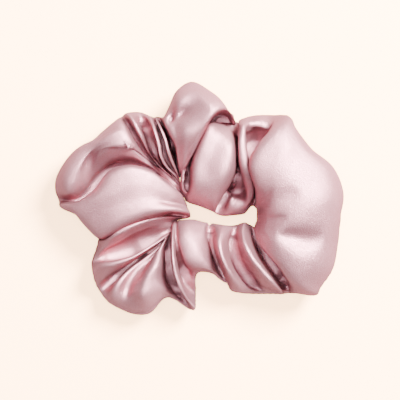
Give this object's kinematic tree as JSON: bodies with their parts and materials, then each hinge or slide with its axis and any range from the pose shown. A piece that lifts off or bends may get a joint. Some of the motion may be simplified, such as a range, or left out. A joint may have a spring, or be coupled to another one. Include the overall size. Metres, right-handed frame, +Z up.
{
  "type": "scrunchie",
  "caption": "Soft hair tie: a tube of satin gathered round a loop of flat elastic, lying in loose folds with a small opening in the middle.",
  "frame": {"origin": "centre of the bounding box's bottom face, on the table that the scrunchie lies on", "axes": "+X along the longer side of the ring, +Y across it towards the tall lobe, +Z up from the table"},
  "size_m": [0.1135, 0.0932, 0.0305],
  "materials": {
    "satin": "dusty pink polyester satin, smooth face out, soft broad sheen",
    "elastic": "white braided elastic, ribbed along its length",
    "elastic_thread": "white spun polyester sewing thread",
    "seam_thread": "dusty pink spun polyester sewing thread"
  },
  "bodies": {
    "lower_half": {"satin_tube_lower": "satin", "elastic_band_lower": "elastic", "elastic_lap_needle_thread": "elastic_thread", "elastic_lap_bobbin_thread": "elastic_thread", "long_seam_needle_thread_lower": "seam_thread", "long_seam_bobbin_thread_lower": "seam_thread", "closing_seam_needle_thread": "seam_thread", "closing_seam_bobbin_thread": "seam_thread"},
    "upper_half": {"satin_tube_upper": "satin", "elastic_band_upper": "elastic", "long_seam_needle_thread_upper": "seam_thread", "long_seam_bobbin_thread_upper": "seam_thread"}
  },
  "joints": [
    {"name": "stretch", "type": "slide", "parent": "lower_half", "child": "upper_half", "axis": [0, 1, 0], "range_m": [0, 0.06], "stiffness_N_per_m": 110}
  ]
}
